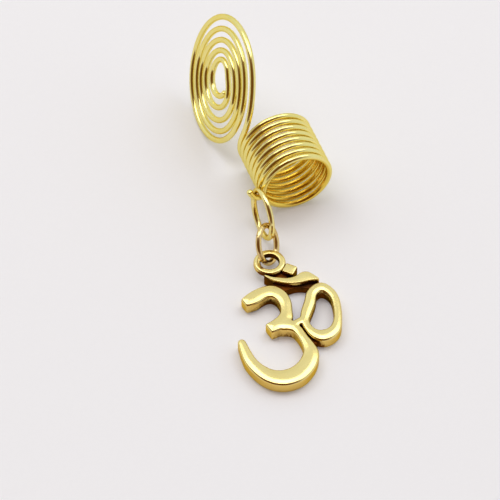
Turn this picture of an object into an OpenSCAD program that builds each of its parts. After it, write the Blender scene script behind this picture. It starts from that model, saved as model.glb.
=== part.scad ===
// Hair ring for a braid. One wire is wound into a flat spiral disc and then into a round coil, and a
// cast om charm hangs from the wire's free end on two jump rings. The whole lies on a flat surface,
// with the coil on its side, the disc standing on its rim and the charm face up.

/* [Wire] */
// Diameter of the wire of the disc and the coil
wire_d = 0.85; // [0.75:0.05:0.9]

/* [Coil] */
// Inner diameter of the coil, where the braid goes through
bore_d = 9.1; // [8.9:0.1:9.5]
// Distance from one turn of the coil to the next
coil_pitch = 1.155; // [1.1:0.005:1.2]
// Turns of the coil, a whole number and a bit, so that the free end comes out at the side
coil_turns = 8.06; // [6.06:1:9.06]

/* [Spiral disc] */
// Radius of the disc's last turn, to the middle of the wire
disc_r = 9.3; // [9.0:0.1:9.6]
// Lean of the disc from upright, back over the coil
disc_lean = 20.5; // [18:0.5:23]
// Distance along the coil from the coil's last turn to the disc's middle
disc_reach = 10; // [9.8:0.1:10.6]

/* [Jump rings] */
// Diameter of the wire of both jump rings
link_wire_d = 0.8; // [0.7:0.05:0.8]
// Radius of the upper jump ring, to the middle of its wire
upper_ring_r = 3.38; // [3.34:0.02:3.44]
// Radius of the lower jump ring, to the middle of its wire
lower_ring_r = 2.58; // [2.56:0.02:2.66]

/* [Charm] */
// Width of the letter, on which the strokes' places across depend
charm_w = 14.3; // [13.5:0.1:15]
// Length of the letter below the middle of the bail, on which the strokes' places down depend
charm_l = 21.4; // [20.5:0.1:22]
// Width of the boldest stroke
stroke_w = 2.7; // [2.5:0.05:2.9]
// Thickness of the letter
charm_t = 1.95; // [1.9:0.05:2.2]
// Outer diameter of the bail
bail_d = 4.46; // [4.36:0.02:4.56]
// Diameter of the hole in the bail
bail_hole_d = 2.56; // [2.5:0.02:2.64]
// Thickness of the bail, which is level with the letter's face
bail_t = 0.95; // [0.85:0.05:0.95]
// Turn of the charm on the surface, clockwise seen from above
charm_turn = 20; // [15:1:25]

/* [Hidden] */

wire_r = wire_d / 2;
link_r = link_wire_d / 2;
coil_r = bore_d / 2 + wire_r;
coil_len = coil_pitch * coil_turns;
// Height of the surface that the object lies on, under the coil
floor_z = -(bore_d / 2 + wire_d);

// Sweep: sides of the wire, and the degrees from one ring of points to the next
wire_sides = 8;
step = 11.25;
bend_rings = 9;

// Radius of the spiral at each quarter turn, from the rim inward, as a share of disc_r.
// The turns were bent by hand, so their radii don't shrink quite evenly.
//   upper near, upper far, lower far, lower near
disc_turns = [
    [0.98, 0.96, 0.97, 0.92],
    [0.74, 0.78, 0.80, 0.78],
    [0.59, 0.61, 0.67, 0.61],
    [0.42, 0.45, 0.51, 0.41],
    [0.21, 0.31, 0.31, 0.24]
];
disc_quarters = [for (row = disc_turns) each row];
// Share that the rim heads for as it leaves the disc for the coil
disc_run_off = 1.03;
// Place of the first quarter, in degrees from the bottom of the disc
first_quarter = 227;
// Degrees that the spiral runs past its first and its last quarter
rim_past = 35;
heart_past = 32;
// Radius at the bottom of the disc's last turn, as a share of disc_r
bottom_share = 0.958;

// Directions in the disc's plane: down its slope and along the coil, and the direction it faces
disc_down = [-sin(disc_lean), 0, -cos(disc_lean)];
disc_along = [0, 1, 0];
disc_face = [-cos(disc_lean), 0, sin(disc_lean)];
// The disc's plane touches the coil's cylinder, and its rim touches the surface
disc_rise = (floor_z + wire_r + bottom_share * disc_r * cos(disc_lean) - coil_r * sin(disc_lean))
    / cos(disc_lean);
disc_mid = coil_r * disc_face - disc_rise * disc_down + (coil_len / 2 + disc_reach) * disc_along;

// Place round the coil where the wire comes in from the disc
coil_start = 159.5;

// Free end of the wire: steps from the coil's end to the bottom of the hook and to its tip
hook_bottom = [-0.775, 0.142, -0.561];
hook_tip = [-2.016, 0.395, 0.972];
hook_heading = [-0.963, -0.033, 0.269];

// Jump rings: each one's turn about the upright, its lean, and its middle
upper_turn = 0.8;
upper_lean = -3.7;
upper_aside = 0.085;
upper_past_coil = 2.162;
upper_mid = [
    -(coil_r + wire_r + link_r + upper_aside),
    -(coil_len / 2 + upper_past_coil),
    floor_z + link_r + upper_ring_r * cos(upper_lean)
];
lower_turn = -38;
lower_lean = 23.5;
lower_step = [-1.005, -4.538];
lower_mid = [
    upper_mid.x + lower_step.x,
    upper_mid.y + lower_step.y,
    floor_z + link_r + lower_ring_r * cos(lower_lean)
];
bail_step = [-0.55, -2.285];
bail_mid = [lower_mid.x + bail_step.x, lower_mid.y + bail_step.y];

// Charm: strokes of the letter, from the middle of the bail, with the widths as shares of stroke_w.
//   share of charm_w across, share of charm_l down, width
upper_bowl = [
    [-0.252, 0.334, 0.56],
    [-0.170, 0.300, 0.80],
    [-0.075, 0.255, 0.78],
    [0.010, 0.240, 0.78],
    [0.085, 0.265, 0.74],
    [0.137, 0.320, 0.66],
    [0.152, 0.390, 0.60],
    [0.141, 0.455, 0.75],
    [0.075, 0.505, 0.74],
    [-0.020, 0.545, 0.66]
];
lower_bowl = [
    [0.105, 0.515, 0.67],
    [0.180, 0.520, 0.59],
    [0.245, 0.545, 0.52],
    [0.300, 0.605, 0.46],
    [0.350, 0.670, 0.59],
    [0.375, 0.730, 0.78],
    [0.360, 0.790, 0.87],
    [0.320, 0.845, 0.93],
    [0.245, 0.900, 1.00],
    [0.145, 0.930, 1.00],
    [0.045, 0.930, 0.93],
    [-0.045, 0.905, 0.81],
    [-0.130, 0.855, 0.69],
    [-0.195, 0.795, 0.61],
    [-0.240, 0.720, 0.52],
    [-0.272, 0.652, 0.42]
];
curl = [
    [0.480, 0.205, 0.59],
    [0.555, 0.230, 0.50],
    [0.610, 0.285, 0.43],
    [0.634, 0.370, 0.41],
    [0.636, 0.465, 0.43],
    [0.612, 0.538, 0.57],
    [0.560, 0.580, 0.67],
    [0.493, 0.598, 0.73],
    [0.425, 0.586, 0.60],
    [0.365, 0.545, 0.44],
    [0.325, 0.480, 0.44],
    [0.340, 0.410, 0.56],
    [0.375, 0.330, 0.59],
    [0.400, 0.250, 0.56]
];
neck = [
    [0.210, 0.510, 0.40],
    [0.315, 0.465, 0.40]
];
crescent = [
    [-0.055, 0.112, 0.11],
    [0.020, 0.140, 0.22],
    [0.100, 0.152, 0.31],
    [0.180, 0.159, 0.37],
    [0.265, 0.148, 0.50],
    [0.340, 0.124, 0.68],
    [0.405, 0.131, 0.42],
    [0.470, 0.146, 0.11]
];
dot = [
    [0.110, 0.035, 0.60],
    [0.245, 0.078, 0.60]
];
// Low webs between the strokes: under the crescent, beside the bail, and in the letter's waist
under_crescent = [
    [0.030, 0.190, 0.74],
    [0.150, 0.182, 0.54],
    [0.250, 0.170, 0.36],
    [0.360, 0.172, 0.40],
    [0.470, 0.190, 0.60]
];
beside_bail = [
    [0.000, 0.108, 0.45],
    [0.170, 0.115, 0.70]
];
waist = [
    [0.280, 0.510, 0.40],
    [0.430, 0.640, 0.60]
];
// Height of the low webs, as a share of charm_t
web_share = 0.6;
// Size of the softened edge round the letter's face
face_edge = 0.12;
// Points along a stroke between two rows of its table
stroke_steps = 4;

function unit(v) = v / norm(v);

// Value of a smooth curve through b and c, with a before and d after, at the share f of the way
function through(a, b, c, d, f) =
    b + f / 2 * (c - a + f * (2 * a - 5 * b + 4 * c - d + f * (3 * (b - c) + d - a)));

// Points of a bend that leaves p along u and comes into q along v, without its two ends
function bend(p, u, q, v, reach, n) = let (l = reach * norm(q - p), a = p + l * u, b = q - l * v) [
    for (i = [1:n])
        let (f = i / (n + 1), g = 1 - f)
            g * g * g * p + 3 * g * g * f * a + 3 * g * f * f * b + f * f * f * q
];

// Spiral disc, by the degrees inward from its first quarter
function quarter(i) =
    i < 0 ? disc_run_off
    : i < len(disc_quarters) ? disc_quarters[i]
    : 2 * disc_quarters[len(disc_quarters) - 1] - disc_quarters[len(disc_quarters) - 2];
function disc_radius(inward) = let (q = inward / 90, i = min(floor(q), len(disc_quarters) - 1))
    disc_r * through(quarter(i - 1), quarter(i), quarter(i + 1), quarter(i + 2), q - i);
function disc_point(inward) = let (a = first_quarter - inward, r = disc_radius(inward))
    disc_mid + r * (cos(a) * disc_down + sin(a) * disc_along);
disc_inward = (len(disc_quarters) - 1) * 90 + heart_past;
disc_rings = round((disc_inward + rim_past) / step);
disc_path = [
    for (i = [0:disc_rings]) disc_point(disc_inward - (disc_inward + rim_past) * i / disc_rings)
];

// Coil, by its turns from the end near the disc
function coil_point(turns) = let (a = coil_start + 360 * turns)
    [coil_r * cos(a), coil_len / 2 - coil_pitch * turns, coil_r * sin(a)];
function coil_heading(turns) = let (a = coil_start + 360 * turns, way = 2 * PI * coil_r)
    unit([-way * sin(a), -coil_pitch, way * cos(a)]);
coil_rings = round(coil_turns * 360 / step);
coil_path = [for (i = [0:coil_rings]) coil_point(coil_turns * i / coil_rings)];

// The whole wire: disc, bend into the coil, coil, and the hook at the free end
rim_heading = unit(disc_point(-rim_past) - disc_point(1 - rim_past));
coil_end = coil_point(coil_turns);
bottom_at = coil_end + hook_bottom;
tip_at = coil_end + hook_tip;
tip_heading = unit(tip_at - bottom_at - 0.35 * norm(tip_at - bottom_at) * hook_heading);
wire_path = concat(
    disc_path,
    bend(disc_point(-rim_past), rim_heading, coil_point(0), coil_heading(0), 0.4, bend_rings),
    coil_path,
    bend(coil_end, coil_heading(coil_turns), bottom_at, hook_heading, 0.42, bend_rings),
    [bottom_at],
    bend(bottom_at, hook_heading, tip_at, tip_heading, 0.35, bend_rings),
    [tip_at]
);

// Headings along a path, and sideways directions that are carried along it without a twist
function headings(path) = [
    for (i = [0:len(path) - 1]) unit(path[min(i + 1, len(path) - 1)] - path[max(i - 1, 0)])
];
function square_to(side, heading) = unit(side - (side * heading) * heading);
function sides(heads, first) = [
    for (
        i = 0, s = square_to(first, heads[0]);
        i < len(heads);
        s = square_to(s, heads[min(i + 1, len(heads) - 1)]), i = i + 1
    ) s
];

// Round wire of radius r swept along a path
module swept(path, r, n, first_side) {
    heads = headings(path);
    across = sides(heads, first_side);
    last = len(path) - 1;
    points = [
        for (i = [0:last], k = [0:n - 1])
            path[i] + r * (cos(360 * k / n) * across[i] + sin(360 * k / n) * cross(heads[i], across[i]))
    ];
    wall = [
        for (i = [0:last - 1], k = [0:n - 1])
            let (a = i * n + k, b = i * n + (k + 1) % n)
                each [[a, b + n, b], [a, a + n, b + n]]
    ];
    ends = [[for (k = [0:n - 1]) k], [for (k = [n - 1:-1:0]) last * n + k]];
    polyhedron(points, concat(wall, ends));
}

module spiral_wire() {
    color("goldenrod")
    swept(wire_path, wire_r, wire_sides, disc_face);
}

module jump_ring(mid, turn, lean, ring_r) {
    translate(mid)
    rotate([0, 90 - lean, turn])
    rotate_extrude($fn = 64)
    translate([ring_r, 0])
    circle(r = link_r, $fn = 24);
}

module upper_jump_ring() {
    color("gold")
    jump_ring(upper_mid, upper_turn, upper_lean, upper_ring_r);
}

module lower_jump_ring() {
    color("gold")
    jump_ring(lower_mid, lower_turn, lower_lean, lower_ring_r);
}

// Middle line of a stroke in millimetres, smoothed: rows of x, y and width
function knots(rows) = [for (row = rows) [row[0] * charm_w, -row[1] * charm_l, row[2] * stroke_w]];
function smooth_open(k) = let (n = len(k) - 1) [
    for (i = [0:n - 1], s = [0:stroke_steps - 1])
        let (
            before = i > 0 ? k[i - 1] : 2 * k[0] - k[1],
            after = i < n - 1 ? k[i + 2] : 2 * k[n] - k[n - 1]
        )
            through(before, k[i], k[i + 1], after, s / stroke_steps),
    k[n]
];
function smooth_loop(k) = let (n = len(k)) [
    for (i = [0:n - 1], s = [0:stroke_steps - 1])
        through(k[(i + n - 1) % n], k[i], k[(i + 1) % n], k[(i + 2) % n], s / stroke_steps)
];

// Points beside a middle line, out by half the width less the inset; hand is 1 or -1 for the two sides
function beside(line, ahead, behind, i, hand, inset) = let (
    d = unit([ahead[0] - behind[0], ahead[1] - behind[1]]),
    end = i == 0 ? 1 : i == len(line) - 1 ? -1 : 0,
    out = hand * (line[i][2] / 2 - inset)
) [line[i][0] - out * d.y + end * inset * d.x, line[i][1] + out * d.x + end * inset * d.y];

module open_stroke(rows, inset) {
    line = smooth_open(knots(rows));
    last = len(line) - 1;
    left = [
        for (i = [0:last]) beside(line, line[min(i + 1, last)], line[max(i - 1, 0)], i, 1, inset)
    ];
    right = [
        for (i = [last:-1:0]) beside(line, line[min(i + 1, last)], line[max(i - 1, 0)], i, -1, inset)
    ];
    polygon(concat(left, right));
}

// A closed stroke has no end to draw in, so its line is given one point more at each end
module loop_stroke(rows, inset) {
    loop = smooth_loop(knots(rows));
    n = len(loop);
    line = concat([loop[n - 1]], loop, [loop[0]]);
    outer = [for (i = [1:n]) beside(line, line[i + 1], line[i - 1], i, 1, inset)];
    inner = [for (i = [1:n]) beside(line, line[i + 1], line[i - 1], i, -1, inset)];
    polygon(concat(outer, inner), [[for (i = [0:n - 1]) i], [for (i = [0:n - 1]) n + i]]);
}

// The letter from height low to height high, drawn in by the inset
module letter(low, high, inset) {
    tail = knots(lower_bowl)[len(lower_bowl) - 1];
    translate([0, 0, low]) {
        linear_extrude(high - low) open_stroke(upper_bowl, inset);
        linear_extrude(high - low) open_stroke(lower_bowl, inset);
        linear_extrude(high - low) loop_stroke(curl, inset);
        linear_extrude(high - low) open_stroke(neck, inset);
        linear_extrude(high - low) open_stroke(crescent, inset / 2);
        linear_extrude(high - low) open_stroke(dot, inset);
        translate([tail[0], tail[1], 0])
            cylinder(r = tail[2] / 2 - inset, h = high - low, $fn = 32);
    }
}

module webs() {
    linear_extrude(web_share * charm_t) {
        open_stroke(under_crescent, 0);
        open_stroke(beside_bail, 0);
        open_stroke(waist, 0);
    }
}

module om_charm() {
    color("khaki")
    translate([bail_mid.x, bail_mid.y, floor_z])
    rotate([0, 0, -charm_turn])
    difference() {
        union() {
            letter(0, charm_t - face_edge, 0);
            letter(charm_t / 2, charm_t, face_edge);
            webs();
            translate([0, 0, charm_t - bail_t])
                cylinder(d = bail_d, h = bail_t, $fn = 64);
        }
        translate([0, 0, charm_t - bail_t - 1])
            cylinder(d = bail_hole_d, h = bail_t + 2, $fn = 64);
    }
}

spiral_wire();
upper_jump_ring();
lower_jump_ring();
om_charm();
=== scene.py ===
# %% [markdown]
# # A wire hair ring for a braid, with an om charm
# The real thing is one gold-plated wire, wound by hand into a flat spiral disc and then round a rod
# into a coil. Two jump rings hang from the wire's free end, and they carry a small cast charm.
# It lies on a pale surface: the coil on its side, the disc on its rim, the charm face up.
#
# ## The frame
# The solids come first, as a frame that nothing here may move. Every piece below is made at its
# real size in that frame, so nothing has to be fitted afterwards.

# %% Load the frame
from math import cos, floor, pi, radians, sin

import bpy
import numpy as np
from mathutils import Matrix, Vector
from mathutils.bvhtree import BVHTree
from mathutils.geometry import delaunay_2d_cdt
from mathutils.kdtree import KDTree


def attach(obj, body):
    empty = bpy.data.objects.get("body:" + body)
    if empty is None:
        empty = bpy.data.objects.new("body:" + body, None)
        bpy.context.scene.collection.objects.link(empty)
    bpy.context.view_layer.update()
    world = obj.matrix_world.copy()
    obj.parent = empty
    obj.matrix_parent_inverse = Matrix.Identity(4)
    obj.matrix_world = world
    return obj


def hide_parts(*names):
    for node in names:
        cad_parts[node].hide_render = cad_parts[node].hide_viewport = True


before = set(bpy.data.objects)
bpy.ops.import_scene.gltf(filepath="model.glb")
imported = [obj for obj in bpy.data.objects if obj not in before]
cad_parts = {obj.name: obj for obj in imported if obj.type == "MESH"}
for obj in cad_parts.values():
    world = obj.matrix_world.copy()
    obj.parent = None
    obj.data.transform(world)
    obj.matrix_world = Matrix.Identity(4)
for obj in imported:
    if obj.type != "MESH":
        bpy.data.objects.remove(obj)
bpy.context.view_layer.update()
MM = 0.001
print("nodes:", sorted(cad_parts))

# %% [markdown]
# ## The camera
# The object is a few centimetres long and was photographed from above with a long lens. A far
# camera with a narrow view gives the same nearly parallel lines. Its height above the table follows
# from how round the coil's mouth looks, and its turn from how the coil's side and mouth share the
# picture. The lamps are aimed in the same way later, so a function turns two angles into a way.

# %% Camera at the photograph's angle
def way_to(turn, height):
    """A direction from two angles in degrees. turn is 0 to the far side and 90 to the right."""
    turn, height = radians(turn), radians(height)
    return Vector((sin(turn) * cos(height), cos(turn) * cos(height), sin(height)))


def in_scene(name, data):
    """Makes an object of the data and links it to the scene."""
    thing = bpy.data.objects.new(name, data)
    bpy.context.scene.collection.objects.link(thing)
    return thing


photo_px = 500
camera_turn, camera_height = 20.41, 49.9
camera_reach = 400 * MM
camera_aim = Vector((-8.70, -9.31, -5.40)) * MM
# How long one millimetre at the aim is in the photograph, in pixels
px_per_mm = 7.223

camera_data = bpy.data.cameras.new("Camera")
camera = in_scene("Camera", camera_data)
looks_along = way_to(camera_turn, -camera_height)
camera.location = camera_aim - camera_reach * looks_along
camera.rotation_euler = looks_along.to_track_quat("-Z", "Y").to_euler()
camera_data.sensor_width = 36
camera_data.lens = px_per_mm * camera_reach / MM / photo_px * camera_data.sensor_width
camera_data.clip_start = 0.01
camera_data.clip_end = 20
bpy.context.scene.camera = camera
print("lens", round(camera_data.lens, 1), "mm at", [round(v, 4) for v in camera.location])

# %% [markdown]
# ## Helpers for colour and nodes
# A hex colour is what a paint program shows, and Blender's shaders want linear light, so one
# function turns one into the other. A second function adds any node with its settings and links,
# which keeps each material down to the lines that say something about it.

# %% Colour and node helpers
def linear(hex_colour):
    shares = [int(hex_colour[i:i + 2], 16) / 255 for i in (0, 2, 4)]
    return [s / 12.92 if s <= 0.04045 else ((s + 0.055) / 1.055) ** 2.4 for s in shares] + [1.0]


def add(tree, kind, inputs=None, **settings):
    """Adds a node. inputs maps a socket's name or number to a value or to a node's socket."""
    node = tree.nodes.new(kind)
    for name, value in settings.items():
        setattr(node, name, value)
    for socket, value in (inputs or {}).items():
        if isinstance(value, bpy.types.NodeSocket):
            tree.links.new(value, node.inputs[socket])
        else:
            node.inputs[socket].default_value = value
    return node


def new_material(name):
    material = bpy.data.materials.new(name)
    material.use_nodes = True
    tree = material.node_tree
    tree.nodes.clear()
    return material, tree


print("the mid grey 808080 is", round(linear("808080")[0], 3), "in linear light")

# %% [markdown]
# ## Gold plating on drawn wire
# Jewellery wire is pulled through a hole in a hard plate, which leaves faint lines along it, and
# then it is plated with a bright pale gold. The eye gets a mirror with long soft streaks. So the
# metal is fully metallic, its roughness is low and wanders along the wire, and a very shallow bump
# follows two attributes that the swept wire carries: how far along it a point is, and how far
# round. Specular Tint is what a metal's colour turns to where it is seen at a flat angle. White is
# usual there, and this thin bright plating keeps its yellow, so the tint is a gold too.
#
# The inside of a coil lies in shade and sees mostly more gold, so a deeper, darker gold is painted
# there: painted shade and painted reflection. The material works that out from the coil's own
# middle
# line, which is the Y axis: a point is inside where it lies within the coil's length and its skin
# faces that line.

# %% Gold-plated wire
streaks_per_mm, streaks_round = 0.35, 26.0
# The deeper, darker gold painted inside the coil, as painted shade and painted reflection
painted_inner_shade = "F0C838"
painted_inner_shade_share = 0.75
# In millimetres from the coil's middle along Y: where the painted inner shade starts, and where it
# is full
inner_from, inner_full = 5.3, 4.8


def gold_wire(name, gold, deep_gold, edge, rough):
    material, tree = new_material(name)
    along = add(tree, "ShaderNodeAttribute", attribute_name="along")
    around = add(tree, "ShaderNodeAttribute", attribute_name="around")
    along_mm = add(tree, "ShaderNodeMath", {
        0: along.outputs["Fac"], 1: 1 / MM,
    }, operation="MULTIPLY")
    # The streaks are long along the wire and fine round it, so each way has its own scale
    streak_run = add(tree, "ShaderNodeMath", {
        0: along_mm.outputs[0], 1: streaks_per_mm,
    }, operation="MULTIPLY")
    streak_side = add(tree, "ShaderNodeMath", {
        0: around.outputs["Fac"], 1: streaks_round,
    }, operation="MULTIPLY")
    streak_place = add(tree, "ShaderNodeCombineXYZ", {
        "X": streak_run.outputs[0], "Y": streak_side.outputs[0],
    })
    streaks = add(tree, "ShaderNodeTexNoise", {
        "Vector": streak_place.outputs[0], "Scale": 1.0, "Detail": 3.0, "Roughness": 0.6,
    })
    place = add(tree, "ShaderNodeTexCoord")
    place_mm = add(tree, "ShaderNodeMapping", {
        "Vector": place.outputs["Object"], "Scale": (1 / MM, 1 / MM, 1 / MM),
    })
    # Patches about 3 mm wide, where handling has dulled the plating a little
    patches = add(tree, "ShaderNodeTexNoise", {
        "Vector": place_mm.outputs[0], "Scale": 0.35, "Detail": 2.0, "Roughness": 0.5,
    })
    roughness = add(tree, "ShaderNodeMapRange", {
        "Value": patches.outputs["Fac"], "From Min": 0.3, "From Max": 0.7,
        "To Min": rough * 0.7, "To Max": rough * 1.3,
    })
    outer_tone = add(tree, "ShaderNodeMix", {
        "Factor": patches.outputs["Fac"], "A": linear(gold), "B": linear(deep_gold),
    }, data_type="RGBA")
    # How squarely the skin faces away from the Y axis: 1 on the coil's outside, -1 on its inside
    here = add(tree, "ShaderNodeSeparateXYZ", {0: place_mm.outputs[0]})
    from_axis = add(tree, "ShaderNodeCombineXYZ", {
        "X": here.outputs["X"], "Z": here.outputs["Z"],
    })
    away = add(tree, "ShaderNodeVectorMath", {0: from_axis.outputs[0]}, operation="NORMALIZE")
    skin_way = add(tree, "ShaderNodeNewGeometry")
    facing = add(tree, "ShaderNodeVectorMath", {
        0: skin_way.outputs["Normal"], 1: away.outputs["Vector"],
    }, operation="DOT_PRODUCT")
    facing_in = add(tree, "ShaderNodeMapRange", {
        "Value": facing.outputs["Value"], "From Min": 0.35, "From Max": -0.3,
        "To Max": painted_inner_shade_share,
    })
    along_coil = add(tree, "ShaderNodeMath", {0: here.outputs["Y"]}, operation="ABSOLUTE")
    inner_shade_mask = add(tree, "ShaderNodeMapRange", {
        "Value": along_coil.outputs[0], "From Min": inner_from, "From Max": inner_full,
        "To Max": facing_in.outputs["Result"],
    })
    # Painted shade and painted reflection: the inside of the coil turns to a deeper, darker gold
    tone = add(tree, "ShaderNodeMix", {
        "Factor": inner_shade_mask.outputs["Result"],
        "A": outer_tone.outputs["Result"], "B": linear(painted_inner_shade),
    }, data_type="RGBA")
    bump = add(tree, "ShaderNodeBump", {
        "Height": streaks.outputs["Fac"], "Strength": 0.25, "Distance": 0.006 * MM,
    })
    shader = add(tree, "ShaderNodeBsdfPrincipled", {
        "Base Color": tone.outputs["Result"],
        "Metallic": 1.0,
        "Roughness": roughness.outputs["Result"],
        "Normal": bump.outputs["Normal"],
        "Specular Tint": linear(edge),
    })
    add(tree, "ShaderNodeOutputMaterial", {"Surface": shader.outputs[0]})
    return material


wire_finish = gold_wire(
    "gold-plated drawn wire", gold="F7EB9F", deep_gold="F0E084", edge="F0E290", rough=0.15
)
# The rings are bought in. The upper one is a little paler, and the lower one has the browner
# plating of the charm that it came with.
ring_finish = gold_wire(
    "gold-plated jump ring wire", gold="F8EAA4", deep_gold="F1DF8E", edge="EAD688", rough=0.17
)
charm_ring_finish = gold_wire(
    "antique gold jump ring wire", gold="EDD69A", deep_gold="DCBD7C", edge="DCC080", rough=0.2
)
print("made:", [finish.name for finish in (wire_finish, ring_finish, charm_ring_finish)])

# %% [markdown]
# ## Antique gold casting
# The charm is cast in a cheap white metal, plated, dipped in a dark brown lacquer and then buffed.
# The buffing wheel cleans the face and the outer edges, and the brown stays wherever it can't
# reach. An attribute, worked out below from how hidden each point is, says where that is. These
# hollows also lie in shade, so the brown is partly lacquer and partly painted shade. Between clean
# and brown lies a third tone on upright walls, an orange gold that is a painted reflection of the
# lit paper and painted shade of the charm itself. Where much lacquer has run together it dries
# darker. Casting leaves a slightly uneven skin, which shows as soft dimples in the gold and as
# grain in the lacquer.

# %% Antique gold
# An orange gold on upright walls: painted reflection of the lit paper and painted shade of the
# charm itself
painted_wall_reflection = "E8BA4E"
painted_wall_reflection_share = 0.55
pooled_lacquer = "402512"
# How much the casting grain adds to the hidden share, which makes the border of the lacquer and
# painted shade ragged
grain_share = 0.3
# The sum at which the lacquer and painted shade start, and at which they cover all of the gold
lacquer_and_shade_from, lacquer_and_shade_full = 0.41, 0.62


def antique_gold(name, gold, deep_gold, edge, lacquer):
    material, tree = new_material(name)
    place = add(tree, "ShaderNodeTexCoord")
    place_mm = add(tree, "ShaderNodeMapping", {
        "Vector": place.outputs["Object"], "Scale": (1 / MM, 1 / MM, 1 / MM),
    })
    # Clouds of about 2 mm in the plating, and casting grain of about 0.15 mm
    clouds = add(tree, "ShaderNodeTexNoise", {
        "Vector": place_mm.outputs[0], "Scale": 0.5, "Detail": 3.0, "Roughness": 0.55,
    })
    grain = add(tree, "ShaderNodeTexNoise", {
        "Vector": place_mm.outputs[0], "Scale": 6.5, "Detail": 3.0, "Roughness": 0.6,
    })
    plating = add(tree, "ShaderNodeMix", {
        "Factor": clouds.outputs["Fac"], "A": linear(gold), "B": linear(deep_gold),
    }, data_type="RGBA")
    # A painted reflection and shade comes in as the skin turns from lying to upright
    skin_way = add(tree, "ShaderNodeNewGeometry")
    upright = add(tree, "ShaderNodeSeparateXYZ", {0: skin_way.outputs["Normal"]})
    lying = add(tree, "ShaderNodeMath", {0: upright.outputs["Z"]}, operation="ABSOLUTE")
    wall_reflection_mask = add(tree, "ShaderNodeMapRange", {
        "Value": lying.outputs[0], "From Min": 0.6, "From Max": 0.1, "To Max": painted_wall_reflection_share,
    })
    plating_with_wall_reflection = add(tree, "ShaderNodeMix", {
        "Factor": wall_reflection_mask.outputs["Result"], "A": plating.outputs["Result"], "B": linear(painted_wall_reflection),
    }, data_type="RGBA")
    # The lacquer, which in the hollows also stands for painted shade, darker where it has run
    # together
    pooled = add(tree, "ShaderNodeMapRange", {
        "Value": clouds.outputs["Fac"], "From Min": 0.4, "From Max": 0.65,
    }, interpolation_type="SMOOTHSTEP")
    brown = add(tree, "ShaderNodeMix", {
        "Factor": pooled.outputs["Result"], "A": linear(lacquer), "B": linear(pooled_lacquer),
    }, data_type="RGBA")
    hidden = add(tree, "ShaderNodeAttribute", attribute_name="hidden")
    ragged = add(tree, "ShaderNodeMath", {
        0: grain.outputs["Fac"], 1: grain_share,
    }, operation="MULTIPLY")
    reach = add(tree, "ShaderNodeMath", {
        0: hidden.outputs["Fac"], 1: ragged.outputs[0],
    }, operation="ADD")
    lacquer_and_shade_mask = add(tree, "ShaderNodeMapRange", {
        "Value": reach.outputs[0], "From Min": lacquer_and_shade_from, "From Max": lacquer_and_shade_full,
    }, interpolation_type="SMOOTHSTEP")
    tone = add(tree, "ShaderNodeMix", {
        "Factor": lacquer_and_shade_mask.outputs["Result"],
        "A": plating_with_wall_reflection.outputs["Result"], "B": brown.outputs["Result"],
    }, data_type="RGBA")
    roughness = add(tree, "ShaderNodeMapRange", {
        "Value": lacquer_and_shade_mask.outputs["Result"], "To Min": 0.2, "To Max": 0.42,
    })
    dimples = add(tree, "ShaderNodeBump", {
        "Height": clouds.outputs["Fac"], "Strength": 0.3, "Distance": 0.05 * MM,
    })
    bump = add(tree, "ShaderNodeBump", {
        "Height": grain.outputs["Fac"], "Strength": 0.3, "Distance": 0.012 * MM,
        "Normal": dimples.outputs["Normal"],
    })
    shader = add(tree, "ShaderNodeBsdfPrincipled", {
        "Base Color": tone.outputs["Result"],
        "Metallic": 1.0,
        "Roughness": roughness.outputs["Result"],
        "Normal": bump.outputs["Normal"],
        "Specular Tint": linear(edge),
    })
    add(tree, "ShaderNodeOutputMaterial", {"Surface": shader.outputs[0]})
    return material


# Its brown is lacquer and painted shade, and its upright walls carry a painted reflection
charm_finish = antique_gold(
    "antique gold casting with brown lacquer",
    gold="F0E09A", deep_gold="E8D080", edge="EAD488", lacquer="743E12",
)
print("made:", charm_finish.name)

# %% [markdown]
# ## The wire's path
# The whole disc, bend, coil and hook is one wire, so its middle is one line. The coil is a helix,
# and the disc is a spiral whose radius is given at each quarter turn, because hand-bent turns don't
# shrink evenly. A smooth curve through those radii keeps the bends soft, and two-ended bends join
# the parts. The disc's plane touches the coil's round side, and its rim stands on the table, which
# gives its place.

# %% Sizes of the wire
# In millimetres. The coil's middle is at the origin, and its middle line is the Y axis.
wire_r = 0.425
coil_r = 4.975
coil_pitch = 1.155
coil_turns = 8.06
coil_len = coil_pitch * coil_turns
# Where on its circle the coil starts, in degrees from the right over the top
coil_start = 159.5
floor_z = -(coil_r + wire_r)
disc_r = 9.3
disc_lean = radians(20.5)
# From the coil's far end to the disc's middle, along Y
disc_reach = 10.0
#   radius as a share of disc_r: upper near, upper far, lower far, lower near, one row a turn
disc_turns = [
    [0.98, 0.96, 0.97, 0.92],
    [0.74, 0.78, 0.80, 0.78],
    [0.59, 0.61, 0.67, 0.61],
    [0.42, 0.45, 0.51, 0.41],
    [0.21, 0.31, 0.31, 0.24],
]
# The same share a quarter before the first, where the rim runs off to the coil
disc_run_off = 1.03
# The share at the disc's lowest point, which stands on the table
bottom_share = 0.958
# In degrees: where the first of those radii lies, counted from the lowest point over the far side,
# how far the wire goes on past it at the rim, and how far past the last one at the heart
first_quarter = 227
rim_past = 35
heart_past = 32
# The hook from the coil's near end: its lowest point, its tip, and the wire's way at the lowest
hook_bottom = np.array([-0.775, 0.142, -0.561])
hook_tip = np.array([-2.016, 0.395, 0.972])
hook_heading = np.array([-0.963, -0.033, 0.269])
print("surface under the coil at", round(floor_z, 3), "mm")


# %% Smooth curves and bends, and the disc's place
def unit(v):
    return v / np.linalg.norm(v)


def through(a, b, c, d, f):
    """The point at share f of the way from b to c, on a smooth curve through all four."""
    return b + f / 2 * (c - a + f * (2 * a - 5 * b + 4 * c - d + f * (3 * (b - c) + d - a)))


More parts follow.
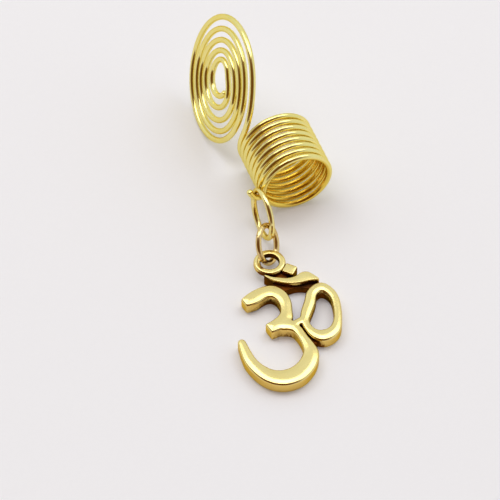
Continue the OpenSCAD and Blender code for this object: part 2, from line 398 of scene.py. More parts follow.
def bend(p, u, q, v, reach, count):
    """Points between p and q on a bend that leaves p the way u points and meets q along v."""
    pull = reach * np.linalg.norm(q - p)
    a, b = p + pull * u, q - pull * v
    shares = [i / (count + 1) for i in range(1, count + 1)]
    return [
        (1 - f) ** 3 * p + 3 * (1 - f) ** 2 * f * a + 3 * (1 - f) * f * f * b + f ** 3 * q
        for f in shares
    ]


quarters = [disc_run_off] + [share for row in disc_turns for share in row]
# Two more at the heart, so that the last part of the curve has points past it too
for _ in range(2):
    quarters.append(2 * quarters[-1] - quarters[-2])
disc_down = np.array([-sin(disc_lean), 0, -cos(disc_lean)])
disc_along = np.array([0.0, 1.0, 0.0])
disc_face = np.array([-cos(disc_lean), 0, sin(disc_lean)])
disc_rise = floor_z + wire_r + bottom_share * disc_r * cos(disc_lean) - coil_r * sin(disc_lean)
disc_mid = coil_r * disc_face - disc_rise / cos(disc_lean) * disc_down
disc_mid = disc_mid + (coil_len / 2 + disc_reach) * disc_along
print("disc's middle at", [round(float(v), 2) for v in disc_mid], "mm")


# %% The disc and the coil
def disc_point(inward):
    """A point of the disc's spiral, this many degrees inward from the first radius."""
    q = inward / 90
    # Where the rim runs off, i is -1, so the first of the four is the list's last radius. It is
    # small, and it makes the rim swing out a little on its way to the coil.
    i = min(floor(q), len(quarters) - 4)
    r = disc_r * through(*(quarters[i + k] for k in range(4)), q - i)
    a = radians(first_quarter - inward)
    return disc_mid + r * (cos(a) * disc_down + sin(a) * disc_along)


def coil_point(turns):
    a = radians(coil_start + 360 * turns)
    return np.array([coil_r * cos(a), coil_len / 2 - coil_pitch * turns, coil_r * sin(a)])


def coil_heading(turns):
    return unit(coil_point(turns + 0.001) - coil_point(turns - 0.001))


turn_points = 60
disc_inward = 90 * (4 * len(disc_turns) - 1) + heart_past
disc_sweep = disc_inward + rim_past
disc_count = round(disc_sweep / 360 * turn_points)
disc_path = [
    disc_point(disc_inward - disc_sweep * i / disc_count) for i in range(disc_count + 1)
]
coil_count = round(coil_turns * turn_points)
coil_path = [coil_point(coil_turns * i / coil_count) for i in range(coil_count + 1)]
print("disc:", len(disc_path), "points; coil:", len(coil_path), "points")

# %% The whole path, from the disc's heart to the hook's tip
tip_reach = 0.35
rim_heading = unit(disc_point(-rim_past) - disc_point(1 - rim_past))
coil_end = coil_point(coil_turns)
bottom_at = coil_end + hook_bottom
tip_at = coil_end + hook_tip
tip_pull = tip_reach * np.linalg.norm(tip_at - bottom_at)
tip_heading = unit(tip_at - bottom_at - tip_pull * hook_heading)
wire_path = (
    disc_path
    + bend(disc_path[-1], rim_heading, coil_path[0], coil_heading(0), reach=0.4, count=28)
    + coil_path
    + bend(coil_end, coil_heading(coil_turns), bottom_at, hook_heading, reach=0.42, count=16)
    + [bottom_at]
    + bend(bottom_at, hook_heading, tip_at, tip_heading, reach=tip_reach, count=20)
    + [tip_at]
)
steps = [np.linalg.norm(b - a) for a, b in zip(wire_path, wire_path[1:])]
print("wire:", len(wire_path), "points,", round(float(sum(steps)), 1), "mm long")

# %% [markdown]
# ## Sweeping a wire with Geometry Nodes
# A curve with a bevel would do for one wire, but the same rule makes every wire of the object:
# follow a path, keep the section round, and remember how far along and how far round each point is.
# Geometry Nodes hold that rule once, with the thickness as an input. The path goes in as a chain of
# edges, and each of its points says how thick the wire is there, so that a cut end can be filed
# round.

# %% Tree that sweeps a wire along a chain of edges
def tree_with(name, sockets=()):
    """A new tree, with the inputs that every wire has and some of its own."""
    tree = bpy.data.node_groups.new(name, "GeometryNodeTree")
    tree.interface.new_socket("Geometry", in_out="OUTPUT", socket_type="NodeSocketGeometry")
    for socket, kind in (
        ("Geometry", "NodeSocketGeometry"), ("Wire radius", "NodeSocketFloat"),
        ("Sides", "NodeSocketInt"), ("Finish", "NodeSocketMaterial"), *sockets,
    ):
        tree.interface.new_socket(socket, in_out="INPUT", socket_type=kind)
    return tree, add(tree, "NodeGroupInput")


def round_section(tree, given):
    circle = add(tree, "GeometryNodeCurvePrimitiveCircle", {
        "Resolution": given.outputs["Sides"], "Radius": given.outputs["Wire radius"],
    })
    turns = add(tree, "GeometryNodeSplineParameter")
    return add(tree, "GeometryNodeStoreNamedAttribute", {
        "Geometry": circle.outputs["Curve"], "Name": "around", "Value": turns.outputs["Factor"],
    }, data_type="FLOAT", domain="POINT")


def swept_wire(tree, given, curve, scale=None):
    run = add(tree, "GeometryNodeSplineParameter")
    marked = add(tree, "GeometryNodeStoreNamedAttribute", {
        "Geometry": curve, "Name": "along", "Value": run.outputs["Length"],
    }, data_type="FLOAT", domain="POINT")
    sweep = add(tree, "GeometryNodeCurveToMesh", {
        "Curve": marked.outputs["Geometry"],
        "Profile Curve": round_section(tree, given).outputs["Geometry"],
        "Fill Caps": True,
    })
    if scale:
        tree.links.new(scale, sweep.inputs["Scale"])
    smooth = add(tree, "GeometryNodeSetShadeSmooth", {"Geometry": sweep.outputs["Mesh"]})
    real = add(tree, "GeometryNodeRealizeInstances", {"Geometry": smooth.outputs["Geometry"]})
    coloured = add(tree, "GeometryNodeSetMaterial", {
        "Geometry": real.outputs["Geometry"], "Material": given.outputs["Finish"],
    })
    add(tree, "NodeGroupOutput", {"Geometry": coloured.outputs["Geometry"]})


path_tree, given = tree_with("Wire along a path")
chain = add(path_tree, "GeometryNodeMeshToCurve", {"Mesh": given.outputs["Geometry"]})
thickness = add(path_tree, "GeometryNodeInputNamedAttribute", {
    "Name": "thickness",
}, data_type="FLOAT")
swept_wire(path_tree, given, chain.outputs["Curve"], thickness.outputs["Attribute"])
print("tree:", path_tree.name, "with", len(path_tree.nodes), "nodes")


# %% Running a tree and keeping its mesh
def grown(name, mesh, tree, values):
    """Runs the tree on the mesh and returns the result as a plain object."""
    guide = in_scene(name + "_guide", mesh)
    modifier = guide.modifiers.new("nodes", "NODES")
    modifier.node_group = tree
    for item in tree.interface.items_tree:
        if item.in_out == "INPUT" and item.name in values:
            modifier[item.identifier] = values[item.name]
    bpy.context.view_layer.update()
    seen = guide.evaluated_get(bpy.context.evaluated_depsgraph_get())
    result = bpy.data.meshes.new_from_object(seen)
    guide.modifiers.remove(modifier)
    bpy.data.objects.remove(guide)
    result.name = name
    return in_scene(name, result)


def finished(piece, node):
    """Puts the piece on the frame in place of a node, and prints where it reaches."""
    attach(piece, "root")
    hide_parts(node)
    low = [round(min(v.co[k] for v in piece.data.vertices) / MM, 2) for k in range(3)]
    high = [round(max(v.co[k] for v in piece.data.vertices) / MM, 2) for k in range(3)]
    print(piece.name, len(piece.data.polygons), "faces, from", low, "to", high, "mm")


# %% The spiral wire
wire_sides = 28
# Both cut ends are filed round over this length, and the wire is this thick at the cut
filed = 0.22
cut_share = 0.45
# Where the points of a filed end lie, closer together at the cut
filed_at = [0, 0.1, 0.25, 0.45, 0.7, 1]


def filed_ends(path):
    """Adds points near both ends, and gives each point its share of the full thickness."""
    first = [path[0] + s * filed * unit(path[1] - path[0]) for s in filed_at]
    last = [path[-1] + s * filed * unit(path[-2] - path[-1]) for s in reversed(filed_at)]
    shares = [cut_share + (1 - cut_share) * (1 - (1 - s) ** 2) ** 0.5 for s in filed_at]
    # The path's own points start a little past the filed ends, so that none lie close together
    clear = 1.3 * filed
    inner = [
        p for p in path
        if min(np.linalg.norm(p - path[0]), np.linalg.norm(p - path[-1])) > clear
    ]
    return first + inner + last, shares + [1.0] * len(inner) + shares[::-1]


points, shares = filed_ends(wire_path)
links = [(i, i + 1) for i in range(len(points) - 1)]
chain_mesh = bpy.data.meshes.new("wire path")
chain_mesh.from_pydata([tuple(p * MM) for p in points], links, [])
chain_mesh.attributes.new("thickness", "FLOAT", "POINT").data.foreach_set("value", shares)
spiral_wire = grown("Spiral_wire", chain_mesh, path_tree, {
    "Wire radius": wire_r * MM, "Sides": wire_sides, "Finish": wire_finish,
})
finished(spiral_wire, "spiral_wire")

# %% [markdown]
# ## Jump rings
# A jump ring is wound on a rod, sawn off, and closed by bending its two ends together, which leaves
# a hair-thin seam. So it is not a torus but an arc that stops just short of a full turn. A second
# tree draws that arc and places it, and sweeps it with the same nodes as the wire.

# %% Tree for a jump ring
ring_tree, given = tree_with("Jump ring", [
    ("Ring radius", "NodeSocketFloat"), ("Seam at", "NodeSocketFloat"),
    ("Seam", "NodeSocketFloat"), ("Tilt", "NodeSocketRotation"), ("Middle", "NodeSocketVector"),
])
sweep_angle = add(ring_tree, "ShaderNodeMath", {
    0: 2 * pi, 1: given.outputs["Seam"],
}, operation="SUBTRACT")
arc = add(ring_tree, "GeometryNodeCurveArc", {
    "Resolution": 120, "Radius": given.outputs["Ring radius"],
    "Start Angle": given.outputs["Seam at"], "Sweep Angle": sweep_angle.outputs[0],
}, mode="RADIUS")
placed = add(ring_tree, "GeometryNodeTransform", {
    "Geometry": arc.outputs["Curve"], "Rotation": given.outputs["Tilt"],
    "Translation": given.outputs["Middle"],
})
swept_wire(ring_tree, given, placed.outputs["Geometry"])
print("tree:", ring_tree.name, "with", len(ring_tree.nodes), "nodes")

# %% Both jump rings
link_r = 0.4
upper_r = 3.38
lower_r = 2.58
upper_turn, upper_lean = radians(0.8), radians(-3.7)
lower_turn, lower_lean = radians(-38), radians(23.5)
# The upper ring stands this far clear of the coil's side, and its middle this far past the coil
upper_gap, upper_past = 0.085, 2.162
# From the upper ring's middle to the lower one's, to the left and towards the viewer
lower_left, lower_near = 1.005, 4.538
upper_mid = np.array([
    -(coil_r + wire_r + link_r + upper_gap),
    -(coil_len / 2 + upper_past),
    floor_z + link_r + upper_r * cos(upper_lean),
])
lower_mid = np.array([
    upper_mid[0] - lower_left,
    upper_mid[1] - lower_near,
    floor_z + link_r + lower_r * cos(lower_lean),
])
seam_mm = 0.03


def jump_ring(name, mid, turn, lean, radius, seam_at, finish):
    return grown(name, bpy.data.meshes.new(name), ring_tree, {
        "Ring radius": radius * MM, "Wire radius": link_r * MM, "Sides": wire_sides,
        "Seam at": seam_at, "Seam": seam_mm / radius,
        "Tilt": (0, pi / 2 - lean, turn), "Middle": tuple(mid * MM), "Finish": finish,
    })


upper_ring = jump_ring(
    "Upper_jump_ring", upper_mid, upper_turn, upper_lean, upper_r, radians(60), ring_finish
)
finished(upper_ring, "upper_jump_ring")
lower_ring = jump_ring(
    "Lower_jump_ring", lower_mid, lower_turn, lower_lean, lower_r, radians(200),
    charm_ring_finish,
)
finished(lower_ring, "lower_jump_ring")

# %% [markdown]
# ## The charm's outline
# The letter is drawn as a pen would draw it: each stroke is a middle line with a width at each
# point. The strokes overlap, and a cast letter has one skin, so they are first merged flat. A
# constrained triangulation does that well: it splits all strokes where they cross, and an edge with
# metal on one side only belongs to the outline. Blender's mesh booleans could do it in 3-D, but
# they leave long thin faces along the cut, and a polished edge would show them.

# %% Strokes of the letter
charm_w, charm_l, stroke_w, charm_t = 14.3, 21.4, 2.7, 1.95
#   share of charm_w across, share of charm_l down, width as a share of stroke_w
upper_bowl = [
    [-0.252, 0.334, 0.56], [-0.170, 0.300, 0.80], [-0.075, 0.255, 0.78], [0.010, 0.240, 0.78],
    [0.085, 0.265, 0.74], [0.137, 0.320, 0.66], [0.152, 0.390, 0.60], [0.141, 0.455, 0.75],
    [0.075, 0.505, 0.74], [-0.020, 0.545, 0.66],
]
lower_bowl = [
    [0.105, 0.515, 0.67], [0.180, 0.520, 0.59], [0.245, 0.545, 0.52], [0.300, 0.605, 0.46],
    [0.350, 0.670, 0.59], [0.375, 0.730, 0.78], [0.360, 0.790, 0.87], [0.320, 0.845, 0.93],
    [0.245, 0.900, 1.00], [0.145, 0.930, 1.00], [0.045, 0.930, 0.93], [-0.045, 0.905, 0.81],
    [-0.130, 0.855, 0.69], [-0.195, 0.795, 0.61], [-0.240, 0.720, 0.52], [-0.272, 0.652, 0.42],
]
curl = [
    [0.480, 0.205, 0.59], [0.555, 0.230, 0.50], [0.610, 0.285, 0.43], [0.634, 0.370, 0.41],
    [0.636, 0.465, 0.43], [0.612, 0.538, 0.57], [0.560, 0.580, 0.67], [0.493, 0.598, 0.73],
    [0.425, 0.586, 0.60], [0.365, 0.545, 0.44], [0.325, 0.480, 0.44], [0.340, 0.410, 0.56],
    [0.375, 0.330, 0.59], [0.400, 0.250, 0.56],
]
neck = [[0.210, 0.510, 0.40], [0.315, 0.465, 0.40]]
print("letter:", len(upper_bowl) + len(lower_bowl) + len(curl) + len(neck), "pen points")

# %% Strokes of the crescent, the dot and the low webs
crescent = [
    [-0.055, 0.112, 0.11], [0.020, 0.140, 0.22], [0.100, 0.152, 0.31], [0.180, 0.159, 0.37],
    [0.265, 0.148, 0.50], [0.340, 0.124, 0.68], [0.405, 0.131, 0.42], [0.470, 0.146, 0.11],
]
# The dot stops short of the bail, which leaves a groove between them
dot = [[0.137, 0.044, 0.60], [0.245, 0.078, 0.60]]
under_crescent = [
    [0.030, 0.190, 0.74], [0.150, 0.182, 0.54], [0.250, 0.170, 0.36], [0.360, 0.172, 0.40],
    [0.470, 0.190, 0.60],
]
beside_bail = [[0.000, 0.106, 0.48], [0.170, 0.104, 0.80]]
waist = [[0.280, 0.510, 0.40], [0.430, 0.640, 0.60]]
web_points = len(under_crescent) + len(beside_bail) + len(waist)
print("above the letter:", len(crescent) + len(dot), "pen points; webs:", web_points)

# %% A stroke as a strip of four-sided faces
# Points of a strip from one pen point to the next
stroke_steps = 10


def stroke_strip(rows, closed=False):
    """Left and right edge points of a stroke, in millimetres from the middle of the bail."""
    knots = [np.array([a * charm_w, -d * charm_l, w * stroke_w]) for a, d, w in rows]
    n = len(knots)
    if closed:
        around = [knots[i % n] for i in range(-1, n + 2)]
    else:
        around = [2 * knots[0] - knots[1]] + knots + [2 * knots[-1] - knots[-2]]
    line = [
        through(*around[i:i + 4], s / stroke_steps)
        for i in range(len(around) - 3) for s in range(stroke_steps)
    ]
    line.append(around[-2])
    line = np.array(line)
    ahead = np.gradient(line[:, :2], axis=0)
    if closed:
        ahead[0] = ahead[-1] = line[1, :2] - line[-2, :2]
    ahead /= np.linalg.norm(ahead, axis=1)[:, None]
    out = np.stack([-ahead[:, 1], ahead[:, 0]], axis=1) * line[:, 2:] / 2
    return line[:, :2] + out, line[:, :2] - out


def round_strip(outer, inner, sides=96):
    turn = np.linspace(0, 2 * pi, sides + 1)
    circle = np.stack([np.cos(turn), np.sin(turn)], axis=1)
    # The same numbers at both ends, so that the strip closes
    circle[-1] = circle[0]
    return inner * circle, outer * circle


# The lower bowl's tail ends in a round cap. Its pinhole is half under the stroke, so the loop round
# what is left of it is very short, and such loops are dropped when the strips are merged.
tail_end = stroke_strip(lower_bowl)
tail_mid = (tail_end[0][-1] + tail_end[1][-1]) / 2
tail_r = np.linalg.norm(tail_end[0][-1] - tail_end[1][-1]) / 2
tail_cap = tuple(tail_mid + edge for edge in round_strip(tail_r, tail_r / 50, 24))
print("the lower bowl's tail is", round(2 * float(tail_r), 2), "mm wide at its tip")

# %% Merging strips into one outline
shortest_loop = 20


def outline(strips):
    """Loops round the merged strips, with the metal always on the left of the loop."""
    spots, faces = [], []
    for left, right in strips:
        for i in range(len(left) - 1):
            quad = [left[i], right[i], right[i + 1], left[i + 1]]
            area = sum(a[0] * b[1] - a[1] * b[0] for a, b in zip(quad, quad[1:] + quad[:1]))
            if abs(area) < 1e-9:
                continue
            if area < 0:
                quad.reverse()
            faces.append(list(range(len(spots), len(spots) + 4)))
            spots += [Vector(p) for p in quad]
    # 0 asks for triangles, and the last number is how near two points count as one
    flat = delaunay_2d_cdt(spots, [], faces, 0, 1e-5)
    verts, tris, owners = flat[0], flat[2], flat[5]
    directed = set()
    for tri, owner in zip(tris, owners):
        if owner:
            directed |= set(zip(tri, tri[1:] + tri[:1]))
    after = {a: b for a, b in directed if (b, a) not in directed}
    loops = []
    while after:
        start, loop = next(iter(after)), []
        here = start
        while here in after:
            loop.append(here)
            here = after.pop(here)
        if here == start and len(loop) > shortest_loop:
            loops.append(np.array([verts[i][:] for i in loop]))
    return loops


letter = [
    stroke_strip(upper_bowl), stroke_strip(lower_bowl), stroke_strip(curl, closed=True),
    stroke_strip(neck), tail_cap,
]
letter_loops = outline(letter)
print("the letter's outline has loops of", [len(loop) for loop in letter_loops], "points")

# %% [markdown]
# ## From an outline to a cast, buffed solid
# Buffing rounds the upper edges more than the lower ones, and it leaves the face slightly pillowed.
# So the skin is built in rows that follow the outline: a small rounding at the foot, the wall, a
# wider rounding at the top, and then the face, which swells a little towards the middle of each
# stroke. Blender's Bevel can't make a rounding that is wider than half of a narrow stroke. Here a
# row's corners get softer the further it moves inwards, so its points don't run into each other.
# Thin shapes, such as the crescent's tips, still need smaller roundings than the letter. The face
# is filled with small even triangles, because a mirror shows every long one.

# %% Softer, evenly spaced and moved loops
# The spacing of an outline's points, and how far a loop moves for one more softening, in mm
outline_step = 0.11
soften_every = 0.04
fewest_points = 12
letter_rounds = 6


def softened(loop, rounds):
    """Each point moves half way to the middle of its two neighbours, some times over."""
    for _ in range(rounds):
        loop = (np.roll(loop, 1, 0) + 2 * loop + np.roll(loop, -1, 0)) / 4
    return loop


def evened(loop, rounds):
    """The same loop with evenly spaced points and its corners rounded off."""
    closed = np.vstack([loop, loop[:1]])
    run = np.concatenate([[0], np.cumsum(np.linalg.norm(np.diff(closed, axis=0), axis=1))])
    count = max(fewest_points, round(run[-1] / outline_step))
    at = np.arange(count) * run[-1] / count
    return softened(np.stack([np.interp(at, run, closed[:, k]) for k in range(2)], axis=1), rounds)


def inset(loop, by):
    """The loop moved by a distance towards the metal, with its corners softened on the way."""
    ahead = np.roll(loop, -1, 0) - np.roll(loop, 1, 0)
    ahead /= np.linalg.norm(ahead, axis=1)[:, None]
    moved = loop + by * np.stack([-ahead[:, 1], ahead[:, 0]], axis=1)
    return softened(moved, round(by / soften_every))


letter_edges = [evened(loop, letter_rounds) for loop in letter_loops]
print("evened to", [len(loop) for loop in letter_edges], "points")


# %% Even points inside a face
# The rows of a triangular grid are this share of its spacing apart
row_share = 0.866
# Grid points closer to the edge than this, in millimetres, would make thin triangles
edge_clear = 0.1


def inside(spots, loops):
    """Which of the points lie in the metal: those with an odd number of edges to their right."""
    odd = np.zeros(len(spots), bool)
    for loop in loops:
        for a, b in zip(loop, np.roll(loop, -1, 0)):
            if a[1] == b[1]:
                continue
            crosses = (a[1] > spots[:, 1]) != (b[1] > spots[:, 1])
            x = a[0] + (spots[:, 1] - a[1]) * (b[0] - a[0]) / (b[1] - a[1])
            odd ^= crosses & (x > spots[:, 0])
    return odd


def grid_points(loops, grid):
    """Points of a triangular grid in the metal, clear of its edge, and how deep they lie in it."""
    edge = np.vstack(loops)
    near = KDTree(len(edge))
    for i, p in enumerate(edge):
        near.insert((p[0], p[1], 0), i)
    near.balance()
    low, high = edge.min(0), edge.max(0)
    spots = np.array([
        (x + (j % 2) * grid / 2, y)
        for j, y in enumerate(np.arange(low[1], high[1], grid * row_share))
        for x in np.arange(low[0], high[0], grid)
    ])
    spots = spots[inside(spots, loops)]
    depth = np.array([near.find((p[0], p[1], 0))[2] for p in spots])
    return spots[depth > edge_clear], depth[depth > edge_clear]


print("the letter's face holds", len(grid_points(letter_edges, 0.5)[0]), "points half a mm apart")


# %% Filling a face with triangles
def filled(loops, extra=()):
    """Triangles that fill the metal between the loops, with the extra points as corners too."""
    links, start = [], 0
    for loop in loops:
        n = len(loop)
        links += [(start + i, start + (i + 1) % n) for i in range(n)]
        start += n
    spots = np.vstack([*loops, *extra])
    flat = delaunay_2d_cdt([Vector(p) for p in spots], links, [], 0, 1e-6)
    tris = [tuple(flat[3][i][0] for i in t) for t in flat[2]]
    across = {side: t for t in tris for side in zip(t, t[1:] + t[:1])}
    # The metal is on the left of each loop, so the fill spreads from there and stops at the loops
    rim = set(links)
    waiting, chosen = [across[side] for side in links], set()
    while waiting:
        t = waiting.pop()
        if t not in chosen:
            chosen.add(t)
            sides = set(zip(t, t[1:] + t[:1])) - rim
            waiting += [across[b, a] for a, b in sides if (b, a) in across]
    return sorted(chosen)


print("the letter's back fills with", len(filled(letter_edges)), "triangles")

# %% The skin of one cast shape
# In millimetres: how far the rim's rounding goes in and down, the foot's rounding, how much the
# face swells, how far from its edge it stops swelling, and the spacing of the points in it
edge_in, edge_down = 0.32, 0.36
foot_round = 0.35
pillow = 0.1
pillow_reach = 0.7
face_grid = 0.17
foot_turns = (0, pi / 8, pi / 4, pi * 3 / 8)
wall_rows = 5
rim_rows = 10


def skin_rows(low, shoulder, edge, foot):
    """How far each row lies inside the outline, and its height, from the foot to the face."""
    rows = [(foot * (1 - sin(a)), low + foot * (1 - cos(a))) for a in foot_turns]
    rows += [(0, z) for z in np.linspace(low + foot, shoulder - edge[1], wall_rows)]
    rows += [
        (edge[0] * (1 - cos(a)), shoulder - edge[1] * (1 - sin(a)))
        for a in np.linspace(0, pi / 2, rim_rows)[1:]
    ]
    return rows


def cast_shape(
    strips, low, high, edge=(edge_in, edge_down), swell=pillow, foot=foot_round, rounds=9
):
    """Points and faces of the skin, in millimetres from the middle of the bail."""
    loops = [evened(loop, rounds) for loop in outline(strips)]
    shoulder = high - swell
    rows = skin_rows(low, shoulder, edge, foot)
    spots, faces = [], []
    width = sum(len(loop) for loop in loops)
    for by, z in rows:
        ring = np.vstack([inset(loop, by) for loop in loops])
        spots.append(np.column_stack([ring, np.full(width, z)]))
    for r in range(len(rows) - 1):
        start = 0
        for loop in loops:
            n = len(loop)
            for i in range(n):
                a, b = r * width + start + i, r * width + start + (i + 1) % n
                faces.append((a, b, b + width, a + width))
            start += n
    extra, depth = grid_points([inset(loop, rows[-1][0]) for loop in loops], face_grid)
    # The slope is even near the edge, and fades out over the same distance again
    share = depth / pillow_reach
    rise = swell * np.where(share < 0.5, share * 4 / 3, 1 - np.maximum(1 - share, 0) ** 2 * 4 / 3)
    spots.append(np.column_stack([extra, shoulder + rise]))
    # Both faces take their triangles from the unmoved outline, because moved loops may touch. The
    # extra points follow straight after the top row, so one shift of the numbers does for both.
    top_row = (len(rows) - 1) * width
    faces += [tuple(top_row + i for i in t) for t in filled(loops, [extra])]
    faces += [tuple(reversed(t)) for t in filled(loops)]
    return np.vstack(spots), faces


print("rounding of the face's edge:", edge_in, "mm in,", edge_down, "mm down")

# %% All shapes of the charm
bail_d, bail_hole_d, bail_t = 4.46, 2.56, 0.95
web_top = 0.6 * charm_t
shapes = {
    "letter": cast_shape(letter, 0, charm_t, rounds=letter_rounds),
    "crescent and dot": cast_shape(
        [stroke_strip(crescent), stroke_strip(dot)], 0, charm_t,
        edge=(0.12, 0.3), swell=0.05, foot=0.1, rounds=3,
    ),
    "bail": cast_shape(
        [round_strip(bail_d / 2, bail_hole_d / 2)], charm_t - bail_t, charm_t,
        edge=(0.28, 0.4), swell=0.06, foot=0.25,
    ),
}
# The points of the webs come after all others, from this number on
webs_start = sum(len(points) for points, _ in shapes.values())
for title, rows in (
    ("web under the crescent", under_crescent),
    ("web beside the bail", beside_bail),
    ("web in the waist", waist),
):
    shapes[title] = cast_shape(
        [stroke_strip(rows)], 0, web_top, edge=(0.08, 0.08), swell=0.0, foot=0.1
    )
for title, (points, sides) in shapes.items():
    print(title, len(points), "points,", len(sides), "faces")

# %% The charm
charm_turn = radians(20)
# From the lower ring's middle to the bail's, to the left and towards the viewer
bail_left, bail_near = 0.55, 2.285
bail_mid = np.array([lower_mid[0] - bail_left, lower_mid[1] - bail_near])
faces, start = [], 0
for points, sides in shapes.values():
    faces += [tuple(start + i for i in side) for side in sides]
    start += len(points)
spots = np.vstack([points for points, _ in shapes.values()])
turned = np.column_stack([
    bail_mid[0] + spots[:, 0] * cos(charm_turn) + spots[:, 1] * sin(charm_turn),
    bail_mid[1] - spots[:, 0] * sin(charm_turn) + spots[:, 1] * cos(charm_turn),
    floor_z + spots[:, 2],
])
charm_mesh = bpy.data.meshes.new("Om_charm")
charm_mesh.from_pydata((turned * MM).tolist(), [], faces)
charm_mesh.update()
charm_mesh.polygons.foreach_set("use_smooth", [True] * len(charm_mesh.polygons))
charm_mesh.materials.append(charm_finish)
om_charm = in_scene("Om_charm", charm_mesh)
finished(om_charm, "om_charm")

# %% [markdown]
# ## Where the buffing wheel doesn't reach, and painted shade
# Each point of the charm looks out in a few dozen directions above its skin. The share of them that
# soon meets more of the charm says how hidden the point is, and the lacquer stays in hidden places.
# The same brown also darkens these hollows as painted shade.
# The directions are spread by the golden angle, so the result is the same at each run.
#
# Looking out isn't all, because a buffing wheel is far thicker than a line of sight. So some places
# keep lacquer whatever they see: the low webs, the bail's hole, the small wall at the dot's outer
# end and the walls near the crescent's thin tip. These places also lie in shade, so their added
# brown is partly lacquer and partly painted shade. These shares are added to the first.

# %% Lacquer and painted shade that stay in narrow places
wall_share, web_share, hole_share, dot_share = 0.13, 0.4, 0.45, 0.6
# In millimetres: how far past the bail's hole it stays, how near the dot's end and how far behind
# it, and how far from the crescent's tip it fades out
hole_past, dot_near, dot_behind, tip_fade = 0.1, 0.75, 0.3, 2
dot_left, dot_right = stroke_strip(dot)
dot_end = (dot_left[-1] + dot_right[-1]) / 2
dot_ahead = unit(dot_left[-1] - dot_left[0])
crescent_tip = stroke_strip(crescent)[1][0]


def kept_lacquer_and_shade(i, normal):
    """The added share of lacquer and painted shade at one point, from its number and its normal."""
    here, upright = spots[i][:2], 1 - abs(normal.z)
    from_dot = here - dot_end
    if i >= webs_start:
        return web_share
    if np.hypot(*here) < bail_hole_d / 2 + hole_past:
        return hole_share
    if np.hypot(*from_dot) < dot_near and from_dot @ dot_ahead > -dot_behind:
        return dot_share * upright
    near_tip = max(0, 1 - np.hypot(*(here - crescent_tip)) / tip_fade)
    return max(wall_share, near_tip) * upright


print("the crescent's tip is at", crescent_tip.round(2), "mm from the bail's middle")

# %% Hidden share of each point
looks = 40
# In millimetres: how far a look reaches, and how far off the skin it starts
look_out, off_skin = 5.0, 0.03
# The flattest look, as a share of straight up, and how far below the horizon a look may go
flattest, horizon = 0.15, -0.05
golden = pi * (3 - 5 ** 0.5)
heights = [flattest + (1 - flattest) * (i + 0.5) / looks for i in range(looks)]
fan = [
    Vector(((1 - h * h) ** 0.5 * cos(golden * i), (1 - h * h) ** 0.5 * sin(golden * i), h))
    for i, h in enumerate(heights)
]
skin = BVHTree.FromPolygons(
    [v.co[:] for v in charm_mesh.vertices], [p.vertices[:] for p in charm_mesh.polygons]
)
up = Vector((0, 0, 1))
hidden = []
for i, v in enumerate(charm_mesh.vertices):
    lift = v.co + v.normal * off_skin * MM
    turn = up.rotation_difference(v.normal)
    ways = [way for way in (turn @ look for look in fan) if way.z >= horizon]
    met = sum(skin.ray_cast(lift, way, look_out * MM)[0] is not None for way in ways)
    hidden.append(met / max(len(ways), 1) + kept_lacquer_and_shade(i, v.normal))
charm_mesh.attributes.new("hidden", "FLOAT", "POINT").data.foreach_set("value", hidden)
print("hidden share: mean", round(float(np.mean(hidden)), 3), "most", round(max(hidden), 2))

# %% [markdown]
# ## The table and the light
# The photograph has a pale, even background and soft shadows, as under a light tent. White paper
# in such a tent is lit from all sides, also from where no lamp stands here, so the paper shines a
# little by itself, which keeps its shadows pale.
#
# Polished metal shows its surroundings, so the light is also what gives the gold its look: a wide
# pale ceiling for the bright faces, three round soft boxes for the highlights, and the tent's open
# side, which shows a dim warm room and makes the brown streaks along each wire.

# %% Floor
floor_half = 1.5
fibre_mm = 0.4
paper_blue = 1.015
floor_material, tree = new_material("matt white paper")
place = add(tree, "ShaderNodeTexCoord")
# Paper fibre, hardly seen, and a touch of blue
fibre = add(tree, "ShaderNodeTexNoise", {
    "Vector": place.outputs["Object"], "Scale": 1 / (fibre_mm * MM), "Detail": 2.0,
})
tone = add(tree, "ShaderNodeMapRange", {
    "Value": fibre.outputs["Fac"], "To Min": 0.75, "To Max": 0.77,
})
blue = add(tree, "ShaderNodeMath", {
    0: tone.outputs["Result"], 1: paper_blue,
}, operation="MULTIPLY")
paper = add(tree, "ShaderNodeCombineColor", {
    "Red": tone.outputs["Result"], "Green": tone.outputs["Result"], "Blue": blue.outputs[0],
})
shader = add(tree, "ShaderNodeBsdfPrincipled", {
    "Base Color": paper.outputs[0], "Roughness": 0.9,
    "Emission Color": linear("F2F2F5"), "Emission Strength": 0.16,
})
add(tree, "ShaderNodeOutputMaterial", {"Surface": shader.outputs[0]})
corners = [
    (x * floor_half, y * floor_half, floor_z * MM)
    for x, y in ((-1, -1), (1, -1), (1, 1), (-1, 1))
]
floor_mesh = bpy.data.meshes.new("Floor")
floor_mesh.from_pydata(corners, [], [(0, 1, 2, 3)])
floor_mesh.materials.append(floor_material)
table = in_scene("Floor", floor_mesh)
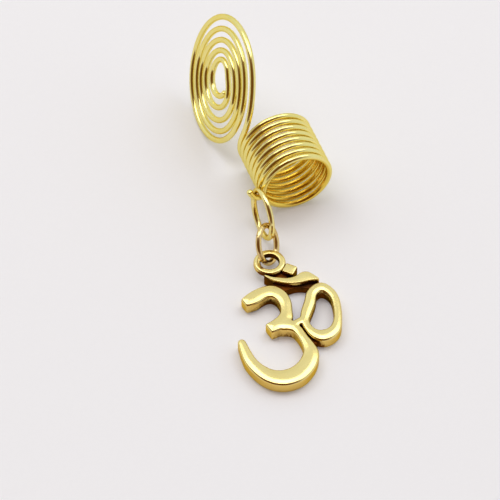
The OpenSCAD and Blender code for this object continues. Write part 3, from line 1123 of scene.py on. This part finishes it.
print("floor at", round(floor_z, 3), "mm")

# %% Soft boxes
box_reach = 0.9


def soft_box(name, turn, height, size, power):
    """A lamp with a round cloth front, aimed at the object."""
    data = bpy.data.lights.new(name, "AREA")
    data.shape = "DISK"
    data.size = size
    data.energy = power
    box = in_scene(name, data)
    box.location = camera_aim + box_reach * way_to(turn, height)
    box.rotation_euler = (camera_aim - box.location).to_track_quat("-Z", "Y").to_euler()


soft_box("Far_box", -35, 60, size=0.52, power=1.7)
soft_box("Right_box", 70, 58, size=0.50, power=1.15)
soft_box("Top_box", 20, 82, size=0.40, power=1.25)

# %% The tent and the room
world = bpy.data.worlds.new("Room")
world.use_nodes = True
tree = world.node_tree
tree.nodes.clear()
outward = add(tree, "ShaderNodeTexCoord")


def toward(turn, height, low, high, low_value, high_value):
    """A value that changes as the direction turns towards the given one: 1 is straight at it."""
    facing = add(tree, "ShaderNodeVectorMath", {
        0: outward.outputs["Generated"], 1: way_to(turn, height),
    }, operation="DOT_PRODUCT")
    return add(tree, "ShaderNodeMapRange", {
        "Value": facing.outputs["Value"], "From Min": low, "From Max": high,
        "To Min": low_value, "To Max": high_value,
    }, interpolation_type="SMOOTHSTEP").outputs["Result"]


# The tent's open side is behind the camera. The cloth is brightest overhead.
open_side = toward(-140, 38, 0.1, 0.93, 0.0, 1.0)
cloth = toward(-20, 75, 0.2, 1.0, 0.88, 0.96)
tint = add(tree, "ShaderNodeMix", {
    "Factor": open_side, "A": linear("F4F9FF"), "B": linear("A46C22"),
}, data_type="RGBA")
level = add(tree, "ShaderNodeMapRange", {"Value": open_side, "To Min": cloth, "To Max": 0.42})
sky = add(tree, "ShaderNodeBackground", {
    "Color": tint.outputs["Result"], "Strength": level.outputs["Result"],
})
add(tree, "ShaderNodeOutputWorld", {"Surface": sky.outputs[0]})
bpy.context.scene.world = world
# The standard view keeps strong yellows, which a film-like view would fade
bpy.context.scene.view_settings.view_transform = "Standard"
print("world:", world.name, "with", len(tree.nodes), "nodes")
